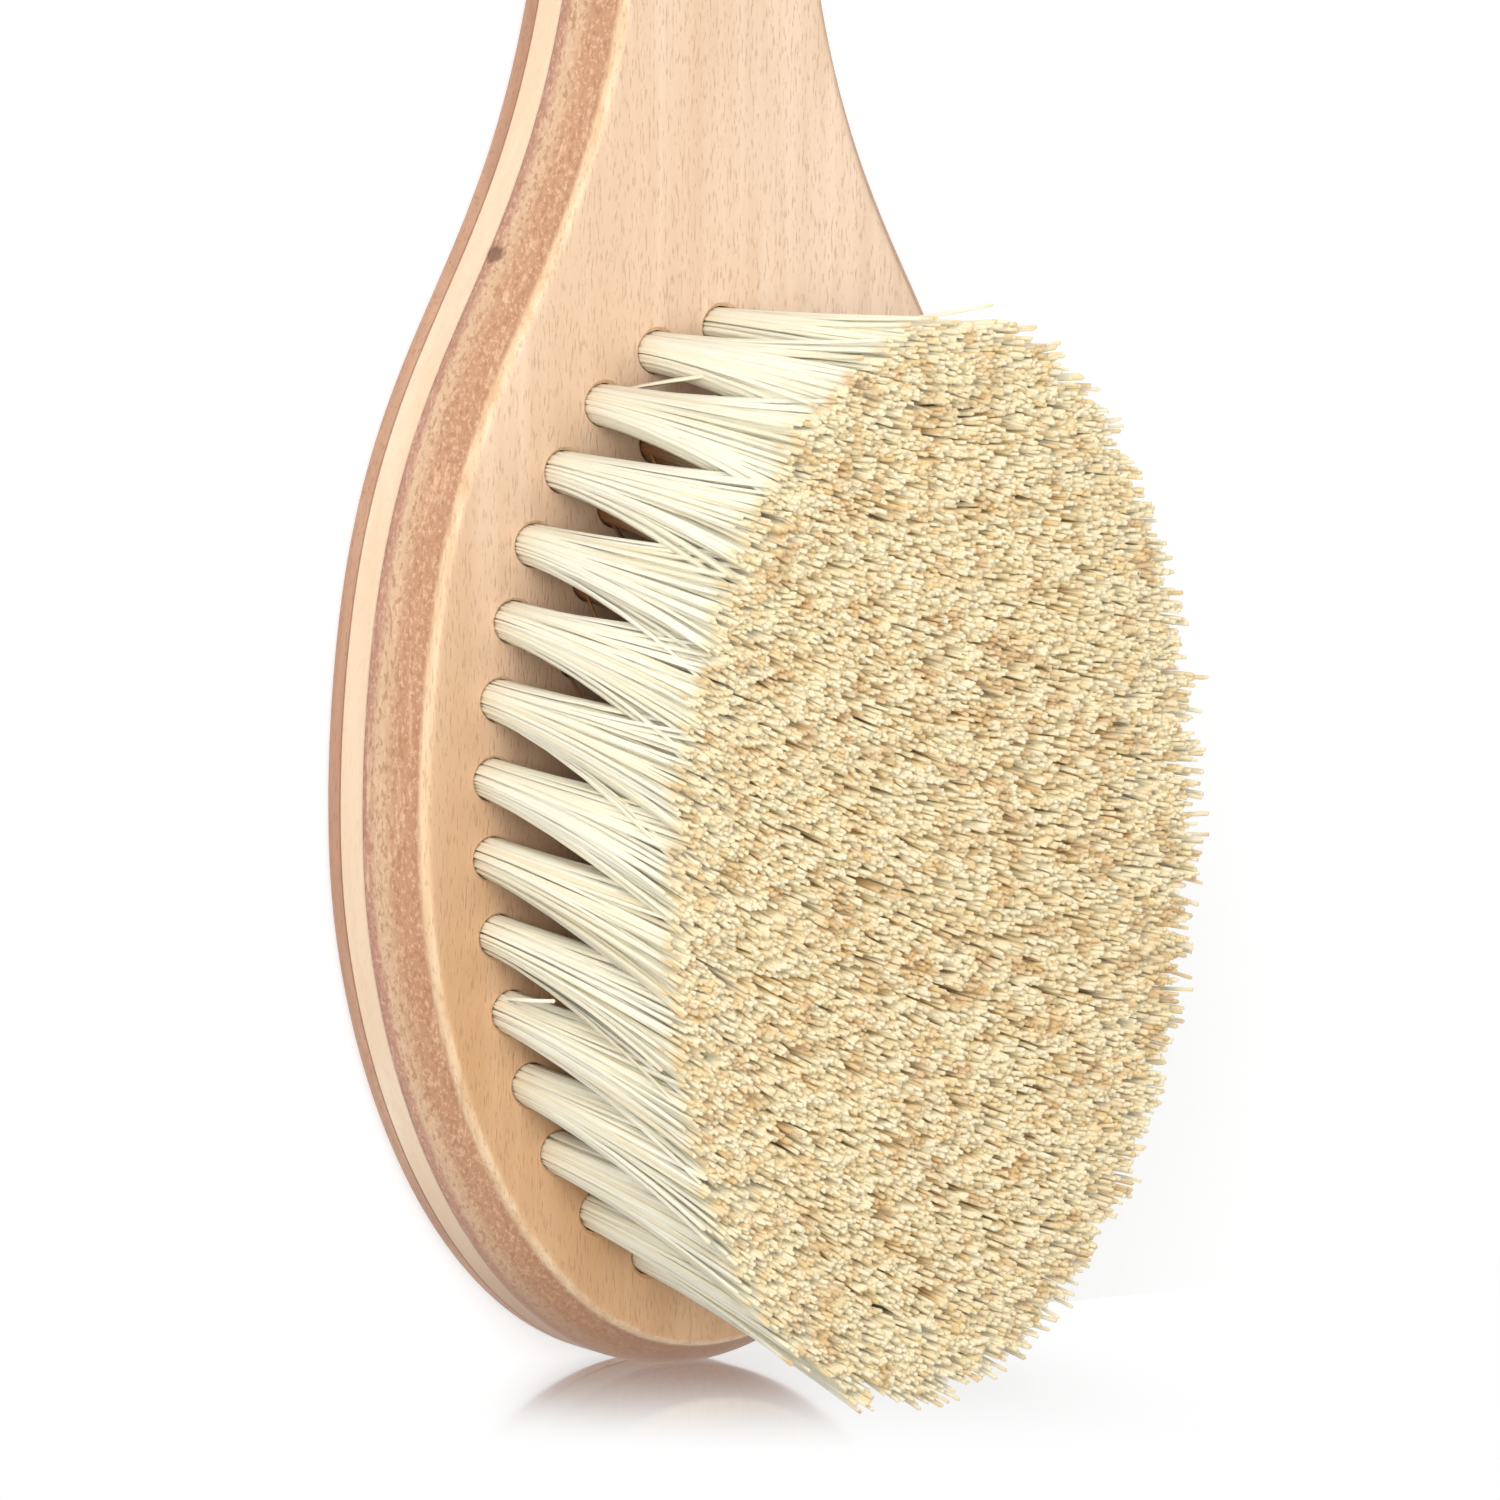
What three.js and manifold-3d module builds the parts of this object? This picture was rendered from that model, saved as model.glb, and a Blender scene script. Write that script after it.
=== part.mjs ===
// Beard brush of laminated wood with hand-drawn tufts of natural fibre. It lies on its flat
// back: +Z out of the bristle face, +X towards the handle's end. Lengths are millimetres and
// angles degrees. The wood is three plies glued flat on each other. The face ply is bored
// through, a wire in a groove on its hidden side holds each ring of tufts by their folds, and
// the other two plies cover the wires.
import * as THREE from "three";
import { mergeVertices } from "three/addons/utils/BufferGeometryUtils.js";
import Module from "manifold-3d";

const wasm = await Module();
wasm.setup();

// Outline of the wood, seen from above
const LENGTH = 186; // head tip to handle end
const HEAD_WIDTH = 50.5;
const TIP_TO_WIDEST = 39.2; // head tip to the widest point of the head
const TIP_TO_WAIST = 117.8; // head tip to the thinnest point of the handle
const WAIST_WIDTH = 15.8;
const GRIP_WIDTH = 23;
const GRIP_END = 17; // length of the rounded handle end
const TIP_BLUNTNESS = 0.61; // share of its tangents that a round end follows, 0.55 on a circle
const TIP_FULLNESS = 0.47; // the same, where the head's round tip runs into its side
const HEAD_REACH = 40.8; // how far the head's side runs on past its widest point
const WAIST_REACH = 48.8; // how far the waist runs back towards the head
const SWELL_REACH = 22; // how far the swell of the grip runs at each end

// Layers of the wood
const BACK_PLY = 2.7;
const PALE_PLY = 2.9;
const FACE_PLY = 5.1;
const BACK_EDGE_RADIUS = 1.6;
const FACE_EDGE_RADIUS = 0.7;
const SIDE_TAPER = 1.9; // how far the side of the face ply draws in below its rounded edge

// Bristle field
const TIP_TO_FIELD = 5.9; // head tip to the first hole's edge
const FIELD_LENGTH = 67.6;
const FIELD_MARGIN = 5.7; // side of the head to the hole edges
const RING_TUFTS = [30, 24, 16]; // tufts in the outer, middle and inner ring
const ROW_TUFTS = 6; // tufts in the straight row at the centre
const RING_SQUARENESS = [2, 2.3, 2.7]; // 2 is an ellipse, and more fills the corners out
const HOLE_RADIUS = 1.5;
const BRISTLE_LENGTH = 28; // bristle face to tips
const END_LEAN = 4; // lean of the tufts at the two ends of the field, away from its centre
const TIP_CROWN = 1; // height of each tuft's domed tip
const WIRE_RADIUS = 0.25;
const FIT_GAP = 0.3; // clearance between a tuft, a wire and what holds them
const TIP_GAP = 0.4; // clearance between the spread tips of neighbouring tufts
const BLEND_START = 12; // height over the face at which two paired tufts run together

const SIDES = 8; // of a hole and a tuft
const WIRE_SIDES = 6;
const RING_STEPS = 44;

const paleStart = BACK_PLY;
const faceStart = BACK_PLY + PALE_PLY;
const faceTop = faceStart + FACE_PLY;
const wireHeight = faceStart + FIT_GAP + WIRE_RADIUS;
const grooveHalf = WIRE_RADIUS + FIT_GAP;
const tuftStart = wireHeight + WIRE_RADIUS + FIT_GAP;
const tuftRadius = HOLE_RADIUS - FIT_GAP;
const fieldCentre = TIP_TO_FIELD + FIELD_LENGTH / 2 - LENGTH / 2;
const ringHalfLength = FIELD_LENGTH / 2 - HOLE_RADIUS;
const ringHalfWidth = HEAD_WIDTH / 2 - FIELD_MARGIN - HOLE_RADIUS;
const ringSpacing = ringHalfWidth / RING_TUFTS.length;
const rowHalfLength = ringHalfLength - ringHalfWidth;

const wood = { roughness: 0.6, metalness: 0 };
const brownWood = new THREE.MeshStandardMaterial({ color: 0xc08f74, ...wood });
const paleWood = new THREE.MeshStandardMaterial({ color: 0xf3d9b4, ...wood });
const faceWood = new THREE.MeshStandardMaterial({ color: 0xdcb48a, ...wood });
const fibre = new THREE.MeshStandardMaterial({ color: 0xf0dfb4, roughness: 0.7, metalness: 0 });
const steel = new THREE.MeshStandardMaterial({ color: 0xb9bcc0, roughness: 0.3, metalness: 1 });

// Solids and geometry

function toSolid(geometry) {
  const bare = geometry.clone().deleteAttribute("normal").deleteAttribute("uv");
  const merged = mergeVertices(bare, 1e-4);
  return new wasm.Manifold(
    new wasm.Mesh({
      numProp: 3,
      vertProperties: merged.attributes.position.array,
      triVerts: new Uint32Array(merged.index.array),
    }),
  );
}

function toGeometry(solid) {
  const { vertProperties, triVerts } = solid.getMesh();
  const geometry = new THREE.BufferGeometry();
  geometry.setAttribute("position", new THREE.BufferAttribute(vertProperties, 3));
  geometry.setIndex(new THREE.BufferAttribute(triVerts, 1));
  geometry.computeVertexNormals();
  return geometry;
}

// A mesh of the quads between rings of points, in each of which the points run the same way.
// The rings close on themselves where isLoop is true; otherwise both ends get a flat cap.
function skin(rings, isLoop) {
  const count = rings[0].length;
  const index = [];
  const last = isLoop ? rings.length : rings.length - 1;
  for (let r = 0; r < last; r++) {
    const near = r * count;
    const far = ((r + 1) % rings.length) * count;
    for (let i = 0; i < count; i++) {
      const next = (i + 1) % count;
      index.push(near + i, near + next, far + next, near + i, far + next, far + i);
    }
  }
  if (!isLoop) {
    const top = (rings.length - 1) * count;
    for (const [a, b, c] of THREE.ShapeUtils.triangulateShape(rings[0], [])) index.push(a, c, b);
    for (const [a, b, c] of THREE.ShapeUtils.triangulateShape(rings.at(-1), []))
      index.push(top + a, top + b, top + c);
  }
  const geometry = new THREE.BufferGeometry().setFromPoints(rings.flat());
  return geometry.setIndex(index);
}

// Wood

function outline() {
  const at = (x, y) => new THREE.Vector2(x - LENGTH / 2, y);
  const head = HEAD_WIDTH / 2;
  const waist = WAIST_WIDTH / 2;
  const grip = GRIP_WIDTH / 2;
  const gripAt = LENGTH - GRIP_END;
  const stretch = (a, b, c, d, steps) =>
    new THREE.CubicBezierCurve(a, b, c, d).getPoints(steps).slice(1);
  const half = [
    at(0, 0),
    ...stretch(
      at(0, 0),
      at(0, head * TIP_BLUNTNESS),
      at(TIP_TO_WIDEST * (1 - TIP_FULLNESS), head),
      at(TIP_TO_WIDEST, head),
      10,
    ),
    ...stretch(
      at(TIP_TO_WIDEST, head),
      at(TIP_TO_WIDEST + HEAD_REACH, head),
      at(TIP_TO_WAIST - WAIST_REACH, waist),
      at(TIP_TO_WAIST, waist),
      11,
    ),
    ...stretch(
      at(TIP_TO_WAIST, waist),
      at(TIP_TO_WAIST + SWELL_REACH, waist),
      at(gripAt - SWELL_REACH, grip),
      at(gripAt, grip),
      6,
    ),
    ...stretch(
      at(gripAt, grip),
      at(gripAt + GRIP_END * TIP_BLUNTNESS, grip),
      at(LENGTH, grip * TIP_BLUNTNESS),
      at(LENGTH, 0),
      7,
    ),
  ];
  const mirrored = half.slice(1, -1).map((p) => new THREE.Vector2(p.x, -p.y));
  return [...mirrored, half.at(-1), ...half.slice(0, -1).reverse()];
}

// The outline drawn in by inset all round, at height z.
function outlineAt(points, z, inset) {
  return points.map((p, i) => {
    const before = points.at(i - 1);
    const after = points[(i + 1) % points.length];
    const along = after.clone().sub(before).normalize();
    return new THREE.Vector3(p.x - along.y * inset, p.y + along.x * inset, z);
  });
}

function ply(levels) {
  const points = outline();
  return skin(levels.map(([z, inset]) => outlineAt(points, z, inset)), false);
}

// Heights and insets of a rounded edge, from the side of the wood to the flat face over it.
function roundedEdge(radius, startHeight, startInset, direction) {
  return [0, 30, 60, 90].map((degrees) => {
    const angle = THREE.MathUtils.degToRad(degrees);
    const height = startHeight + direction * radius * Math.sin(angle);
    return [height, startInset + radius * (1 - Math.cos(angle))];
  });
}

function backPly() {
  const edge = roundedEdge(BACK_EDGE_RADIUS, BACK_EDGE_RADIUS, 0, -1).reverse();
  return ply([...edge, [paleStart, 0]]);
}

function palePly() {
  return ply([[paleStart, 0], [faceStart, 0]]);
}

function facePlyBlank() {
  const edgeStart = faceTop - FACE_EDGE_RADIUS;
  const middle = (faceStart + edgeStart) / 2;
  const edge = roundedEdge(FACE_EDGE_RADIUS, edgeStart, SIDE_TAPER, 1);
  return ply([[faceStart, 0], [middle, SIDE_TAPER / 4], ...edge]);
}

// Bristle field

// A ring of tufts: an oval about the centre of the field.
class Oval extends THREE.Curve {
  constructor(halfLength, halfWidth, squareness) {
    super();
    Object.assign(this, { halfLength, halfWidth, power: 2 / squareness });
    this.arcLengthDivisions = 720;
  }

  getPoint(t, target = new THREE.Vector3()) {
    const bulge = (value) => Math.sign(value) * Math.abs(value) ** this.power;
    const angle = 2 * Math.PI * t;
    const x = fieldCentre + this.halfLength * bulge(Math.cos(angle));
    return target.set(x, this.halfWidth * bulge(Math.sin(angle)), 0);
  }
}

const ovals = RING_TUFTS.map((_, ring) => {
  const inset = ring * ringSpacing;
  return new Oval(ringHalfLength - inset, ringHalfWidth - inset, RING_SQUARENESS[ring]);
});

// Where each tuft leaves the face, ring by ring, with the straight row at the centre last.
const holes = [
  ...ovals.map((oval, ring) => oval.getSpacedPoints(RING_TUFTS[ring]).slice(0, -1)),
  new THREE.LineCurve3(
    new THREE.Vector3(fieldCentre - rowHalfLength, 0, 0),
    new THREE.Vector3(fieldCentre + rowHalfLength, 0, 0),
  ).getSpacedPoints(ROW_TUFTS - 1),
].map((points) => points.map((p) => p.setZ(faceTop)));

function leastDistance(points) {
  let least = Infinity;
  points.forEach((a, i) =>
    points.slice(i + 1).forEach((b) => (least = Math.min(least, a.distanceTo(b)))),
  );
  return least;
}

const tipRadius = (leastDistance(holes.flat()) - TIP_GAP) / 2;

// Moves a shape that stands on the origin onto the face at point, and leans it towards the
// nearer end of the field.
function placeOnFace(geometry, point) {
  const share = (point.x - fieldCentre) / ringHalfLength;
  const slope = share * Math.tan(THREE.MathUtils.degToRad(END_LEAN));
  const axis = new THREE.Vector3(slope, 0, 1).normalize();
  const turn = new THREE.Quaternion().setFromUnitVectors(new THREE.Vector3(0, 0, 1), axis);
  return geometry.applyQuaternion(turn).translate(point.x, point.y, point.z);
}

// A shape turned from [radius, height] points. It is round, or wider along one heading.
function turned(profile, point, stretch = 1, heading = 0) {
  const points = profile.map(([radius, height]) => new THREE.Vector2(radius, height));
  const upright = new THREE.LatheGeometry(points, SIDES).rotateX(Math.PI / 2);
  return toSolid(placeOnFace(upright.scale(stretch, 1, 1).rotateZ(heading), point));
}

function hole(point) {
  const reach = FACE_PLY + HOLE_RADIUS;
  return turned([[0, -reach], [HOLE_RADIUS, -reach], [HOLE_RADIUS, reach], [0, reach]], point);
}

function tuft(point) {
  const seat = tuftStart - faceTop;
  const shoulder = BRISTLE_LENGTH - TIP_CROWN;
  const profile = [
    [0, seat],
    [tuftRadius, seat],
    [tuftRadius, 0],
    [tipRadius, shoulder],
    [0, BRISTLE_LENGTH],
  ];
  return turned(profile, point);
}

// Two neighbouring tufts, and the fibres in which they run together above BLEND_START, which
// reach from the middle of the one to the middle of the other.
function tuftPair(a, b) {
  const middle = a.clone().add(b).divideScalar(2);
  const span = b.clone().sub(a);
  const stretch = span.length() / 2 / tipRadius;
  const shoulder = BRISTLE_LENGTH - TIP_CROWN;
  const profile = [[0, BLEND_START], [tipRadius, shoulder], [0, BRISTLE_LENGTH]];
  const shared = turned(profile, middle, stretch, Math.atan2(span.y, span.x));
  return tuft(a).add(tuft(b)).add(shared);
}

// A bar of the given section along an oval, or its groove. Section points are [out, up], and
// run clockwise.
function ringBar(oval, section, height) {
  const rings = oval.getSpacedPoints(RING_STEPS).slice(0, -1).map((p, i, all) => {
    const along = all[(i + 1) % all.length].clone().sub(all.at(i - 1)).normalize();
    return section.map(
      ([out, up]) => new THREE.Vector3(p.x + along.y * out, p.y - along.x * out, height + up),
    );
  });
  return skin(rings, true);
}

function wireSection() {
  return Array.from({ length: WIRE_SIDES }, (_, i) => {
    const angle = (2 * Math.PI * i) / WIRE_SIDES;
    return [WIRE_RADIUS * Math.cos(angle), -WIRE_RADIUS * Math.sin(angle)];
  });
}

// The groove reaches FIT_GAP over the wire, and below it past the back of the face ply.
function grooveSection() {
  const bottom = -2 * grooveHalf;
  return [
    [-grooveHalf, bottom],
    [-grooveHalf, grooveHalf],
    [grooveHalf, grooveHalf],
    [grooveHalf, bottom],
  ];
}

function ringWire(oval) {
  return ringBar(oval, wireSection(), wireHeight);
}

function ringGroove(oval) {
  return toSolid(ringBar(oval, grooveSection(), wireHeight));
}

function rowWire() {
  const length = 2 * (rowHalfLength + HOLE_RADIUS);
  return new THREE.CylinderGeometry(WIRE_RADIUS, WIRE_RADIUS, length, WIRE_SIDES)
    .rotateZ(Math.PI / 2)
    .translate(fieldCentre, 0, wireHeight);
}

function rowGroove() {
  const length = 2 * (rowHalfLength + HOLE_RADIUS + FIT_GAP);
  const top = wireHeight + grooveHalf;
  const bottom = wireHeight - 2 * grooveHalf;
  const box = new THREE.BoxGeometry(length, 2 * grooveHalf, top - bottom);
  return toSolid(box.translate(fieldCentre, 0, (top + bottom) / 2));
}

function facePly() {
  const cuts = [...holes.flat().map(hole), ...ovals.map(ringGroove), rowGroove()];
  return toGeometry(cuts.reduce((solid, cut) => solid.subtract(cut), toSolid(facePlyBlank())));
}

// Assembly

const brush = new THREE.Group();

function add(name, geometry, material) {
  const mesh = new THREE.Mesh(geometry, material);
  mesh.name = name;
  brush.add(mesh);
}

const numbered = (name, index) => `${name}_${String(index + 1).padStart(2, "0")}`;

add("back_ply", backPly(), brownWood);
add("pale_ply", palePly(), paleWood);
add("face_ply", facePly(), faceWood);

const [outerHoles, ...innerHoles] = holes;
outerHoles.forEach((point, i) => {
  add(numbered("outer_tuft", i), toGeometry(tuft(point)), fibre);
});

const innerNames = ["middle_tuft_pair", "inner_tuft_pair", "centre_tuft_pair"];
innerHoles.forEach((points, ring) => {
  for (let i = 0; i + 1 < points.length; i += 2) {
    const pair = toGeometry(tuftPair(points[i], points[i + 1]));
    add(numbered(innerNames[ring], i / 2), pair, fibre);
  }
});

["outer_wire", "middle_wire", "inner_wire"].forEach((name, ring) => {
  add(name, ringWire(ovals[ring]), steel);
});
add("centre_wire", rowWire(), steel);

export default brush;
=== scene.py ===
"""The looks of a laminated beard brush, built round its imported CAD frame. Lengths are metres.

The brush lies on its flat back: +Z out of the bristle face, +X towards the end of the handle.
Three smooth plies of wood replace the CAD's plies, and bundles of single fibres its tufts.
"""

import math

import bmesh
import bpy
import numpy as np
from mathutils import Matrix, Vector, noise


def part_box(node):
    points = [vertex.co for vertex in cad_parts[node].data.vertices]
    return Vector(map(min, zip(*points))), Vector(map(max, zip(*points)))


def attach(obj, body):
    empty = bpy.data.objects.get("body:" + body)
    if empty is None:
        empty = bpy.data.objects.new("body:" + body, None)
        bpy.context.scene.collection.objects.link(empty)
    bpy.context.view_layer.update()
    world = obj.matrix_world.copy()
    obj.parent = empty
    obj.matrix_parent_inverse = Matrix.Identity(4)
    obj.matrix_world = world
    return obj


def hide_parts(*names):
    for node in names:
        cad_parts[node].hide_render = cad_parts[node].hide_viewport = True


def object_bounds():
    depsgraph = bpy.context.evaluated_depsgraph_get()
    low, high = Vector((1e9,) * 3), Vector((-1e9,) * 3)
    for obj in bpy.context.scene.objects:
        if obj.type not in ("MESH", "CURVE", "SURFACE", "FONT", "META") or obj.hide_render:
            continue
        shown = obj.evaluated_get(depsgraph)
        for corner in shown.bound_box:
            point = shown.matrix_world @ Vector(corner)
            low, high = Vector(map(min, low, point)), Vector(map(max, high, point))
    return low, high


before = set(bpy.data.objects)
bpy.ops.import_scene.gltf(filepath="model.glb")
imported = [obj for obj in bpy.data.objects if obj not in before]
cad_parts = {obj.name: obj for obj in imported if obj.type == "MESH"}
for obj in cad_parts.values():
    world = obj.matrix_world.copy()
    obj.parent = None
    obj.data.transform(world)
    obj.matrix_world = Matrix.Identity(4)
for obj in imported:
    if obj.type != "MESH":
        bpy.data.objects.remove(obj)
cad_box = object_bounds()

MM = 0.001

# Heights and places that come from the frame
BACK_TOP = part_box("back_ply")[1].z
PALE_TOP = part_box("pale_ply")[1].z
FACE_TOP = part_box("face_ply")[1].z
HEAD_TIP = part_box("face_ply")[0].x
TIP_HEIGHT = cad_box[1].z
FIELD_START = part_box("outer_wire")[0]
FIELD_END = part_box("outer_wire")[1]
FIELD_CENTRE = (FIELD_START.x + FIELD_END.x) / 2
FIELD_HALF_LENGTH = (FIELD_END.x - FIELD_START.x) / 2
FIELD_HALF_WIDTH = (FIELD_END.y - FIELD_START.y) / 2

# Wood
OUTLINE_STEPS = 440
BACK_EDGE_RADIUS = 1.6 * MM
FACE_EDGE_RADIUS = 0.7 * MM
EDGE_START = FACE_TOP - FACE_EDGE_RADIUS
EDGE_STEPS = 9
SIDE_TAPER = 1.9 * MM  # how far the face ply's side has come in where its rounded edge starts
PLY_BEVEL = 0.07 * MM
FLAT_NORMAL = 0.9999  # a polygon lies flat if its normal's height is at least this
SHARP_DEGREES = 38
HOLE_RADIUS = 1.5 * MM
HOLE_CHAMFER = 0.14 * MM
HOLE_DEPTH = 7.0 * MM  # more than the face ply's thickness, so each hole goes through
HOLE_SIDES = 40
GROOVE_GAP = 0.3 * MM  # a wire's clearance in its groove
GROOVE_SINK = 0.2 * MM
KNOT_FROM_TIP = 77.5 * MM
KNOT_OVER_SEAM = 0.8 * MM
KNOT_SOLID_TO = 0.6 * MM
KNOT_GONE_BY = 1.0 * MM

# Fibres
RING_SLACK = 0.12 * MM  # how far a ring of a CAD tuft's vertices may be from its height
FIBRES_PER_TUFT = 300
FIBRE_RADIUS = 0.165 * MM
FIBRE_SIDES = 4
FIBRE_STATIONS = (0.05, 0.14, 0.3, 0.5, 0.7, 0.86, 1.0)  # shares of the free length
FOOT_CLEARANCE = 1.2 * MM  # from the pale ply up to the fibres' feet; the wire lies in between
BUNDLE_RADIUS = 1.38 * MM
ANGLE_JITTER = 0.25
SPREAD_ALONG = 3.0 * MM  # how far a tuft's outermost fibres spread by the tips, along its ring
SPREAD_OUTER = 1.5 * MM  # the same, across the outer ring
SPREAD_INNER = 2.4 * MM  # the same, across the inner rings
SPREAD_JITTER = 0.25 * MM
FLARE = 1.4  # how much of the spread comes near the tips; 1 is a straight cone
BEND = 0.4 * MM
TRIM_UNEVEN = 1.2 * MM
STRAY_SHARE = 0.0015
STRAY_SPREAD = 5.0 * MM
STRAY_LENGTH = 0.42  # strays are broken fibres
COMBED = 1.3 * MM  # drift of the tips towards the head tip, at the neck end of the field
TWIST = 2.3 * MM  # added to it at the field's left side, and taken from it at its right
DRIFT_CURVE = 1.2
CLUMP_SIZE = 1.6 * MM
CLUMP_FINER = 2.7  # how much smaller the locks within a lock are
CLUMP_PULL = 0.55 * MM
CLUMP_SINK = 0.8
CLUMP_CURVE = 1.7
BUNDLE_SHADE = 1.5  # how much a fibre's normals follow the round of its tuft

# Along a fibre from foot to tip, as (shares of its stations, values there)
THICKENING = ((0, 0.25, 0.6, 1), (0.6, 0.66, 0.95, 1))
NORMALS_RISE = ((0, 0.6, 1), (0.1, 0.2, 1.3))
NORMALS_ROUND = ((0, 0.5, 0.9, 1), (1, 0.9, 0.25, 0.1))

# The floor's own light to the camera: less by the brush, so that the brush's shadow shows
GLOW_NEAR = 0.58
GLOW_FAR = 0.8
GLOW_GROWS = (0.15, 0.5)  # between these distances from the brush's middle

# The glossy sheet: where its gloss fades, forwards from the brush and out to either side
SHEET_BEYOND_TIP = 0.05 * MM
SHEET_HALF_WIDTH = 0.4
SHEET_HALF_HEIGHT = 0.5
GLOSS_ROUGHNESS = 0.09
GLOSS_SHARE = 0.95
GLOSS_FORWARDS = (3 * MM, 38 * MM)
GLOSS_ASIDE = (12 * MM, 30 * MM)

# The strength of the light from all round
WORLD_LIGHT = 0.5

# The camera: where it looks, from where, and what it takes in
LOOK_AT = Vector((-50.6, -4.2, 8.0)) * MM
LOOK_FROM = Vector((0.151, 0.530, 0.8345))
CAMERA_ROLL = 0.44
CAMERA_DISTANCE = 1.237
CAMERA_LENS = 435


def spline_slopes(points, step):
    """The slopes of the periodic cubic spline through points that are these steps apart."""
    total = len(points)
    system = np.zeros((total, total))
    right = np.zeros((total, 2))
    for i in range(total):
        before, after = step[i - 1], step[i]
        system[i, i - 1] = after
        system[i, i] = 2 * (before + after)
        system[i, (i + 1) % total] = before
        towards = (points[(i + 1) % total] - points[i]) / after
        back = (points[i] - points[i - 1]) / before
        right[i] = 3 * (after * back + before * towards)
    return np.linalg.solve(system, right)


def smooth_closed_curve(points, count):
    """Points on the periodic cubic spline through points, with the outward normal at each."""
    points = np.asarray(points)
    step = np.linalg.norm(np.roll(points, -1, 0) - points, axis=1)
    slope = spline_slopes(points, step)
    total = len(points)
    start = np.concatenate([[0], np.cumsum(step)])
    at = np.linspace(0, start[-1], count, endpoint=False)
    cell = np.clip(np.searchsorted(start, at, "right") - 1, 0, total - 1)
    following = (cell + 1) % total
    h = step[cell][:, None]
    t = ((at - start[cell]) / step[cell])[:, None]
    a, b, ma, mb = points[cell], points[following], slope[cell] * h, slope[following] * h
    place = (2 * t**3 - 3 * t**2 + 1) * a + (t**3 - 2 * t**2 + t) * ma
    place += (3 * t**2 - 2 * t**3) * b + (t**3 - t**2) * mb
    along = (6 * t**2 - 6 * t) * (a - b) + (3 * t**2 - 4 * t + 1) * ma + (3 * t**2 - 2 * t) * mb
    along /= np.linalg.norm(along, axis=1)[:, None]
    return place, np.column_stack([along[:, 1], -along[:, 0]])


def wood_outline():
    """The outline of the wood, anticlockwise from the handle's end, from the CAD's pale ply."""
    seen = {(round(v.co.x, 6), round(v.co.y, 6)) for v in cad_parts["pale_ply"].data.vertices}
    left = sorted((p for p in seen if p[1] > 1e-6), reverse=True)
    right = sorted(p for p in seen if p[1] < -1e-6)
    end, tip = max(seen), min(seen)
    return smooth_closed_curve([end, *left, tip, *right], OUTLINE_STEPS)


def new_mesh(name, vertices, faces):
    mesh = bpy.data.meshes.new(name)
    mesh.from_pydata([tuple(v) for v in vertices], [], faces)
    mesh.validate()
    mesh.update()
    piece = bpy.data.objects.new(name, mesh)
    bpy.context.collection.objects.link(piece)
    return piece


def loft(name, outline, normals, levels):
    """A closed solid whose outline is drawn in by each level's inset at that level's height."""
    count = len(outline)
    vertices = []
    for height, inset in levels:
        ring = outline - normals * inset
        vertices.extend((x, y, height) for x, y in ring)
    faces = [tuple(reversed(range(count)))]
    for level in range(len(levels) - 1):
        low, high = level * count, (level + 1) * count
        for i in range(count):
            j = (i + 1) % count
            faces.append((low + i, low + j, high + j, high + i))
    faces.append(tuple(range((len(levels) - 1) * count, len(levels) * count)))
    return new_mesh(name, vertices, faces)


def round_edge(radius, start, inset, direction):
    """Levels of a rounded edge from the side of the wood to the flat face beyond it."""
    steps = [math.pi / 2 * i / EDGE_STEPS for i in range(EDGE_STEPS + 1)]
    return [
        (start + direction * radius * math.sin(a), inset + radius * (1 - math.cos(a)))
        for a in steps
    ]


def shade_smooth(piece):
    """Smooth on the curved sides, flat on the flat faces and sharp where they meet."""
    mesh = piece.data
    curved = [abs(polygon.normal.z) < FLAT_NORMAL for polygon in mesh.polygons]
    mesh.polygons.foreach_set("use_smooth", curved)
    mesh.set_sharp_from_angle(angle=math.radians(SHARP_DEGREES))


def make_back_ply(outline, normals):
    edge = round_edge(BACK_EDGE_RADIUS, BACK_EDGE_RADIUS, 0, -1)[::-1]
    levels = [*edge, (BACK_TOP - PLY_BEVEL, 0), (BACK_TOP, PLY_BEVEL)]
    return loft("back_wood", outline, normals, levels)


def make_pale_ply(outline, normals):
    levels = [
        (BACK_TOP, PLY_BEVEL),
        (BACK_TOP + PLY_BEVEL, 0),
        (PALE_TOP - PLY_BEVEL, 0),
        (PALE_TOP, PLY_BEVEL),
    ]
    return loft("pale_wood", outline, normals, levels)


def make_face_ply(outline, normals, stems):
    side = []
    for i in range(EDGE_STEPS + 1):
        share = i / EDGE_STEPS
        height = PALE_TOP + PLY_BEVEL + (EDGE_START - PALE_TOP - PLY_BEVEL) * share
        side.append((height, SIDE_TAPER * share**2))
    edge = round_edge(FACE_EDGE_RADIUS, EDGE_START, SIDE_TAPER, 1)[1:]
    ply = loft("face_wood", outline, normals, [(PALE_TOP, PLY_BEVEL), *side, *edge])
    cut(ply, hole_cutters(stems))
    for wire in ("outer_wire", "middle_wire", "inner_wire", "centre_wire"):
        cut(ply, groove_cutter(wire))
    return ply


def cut(piece, cutter):
    """Takes the cutter's volume out of the piece, and removes the cutter."""
    step = piece.modifiers.new("cut", "BOOLEAN")
    step.operation = "DIFFERENCE"
    step.solver = "EXACT"
    step.object = cutter
    with bpy.context.temp_override(object=piece, active_object=piece):
        bpy.ops.object.modifier_apply(modifier=step.name)
    bpy.data.objects.remove(cutter, do_unlink=True)


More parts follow.
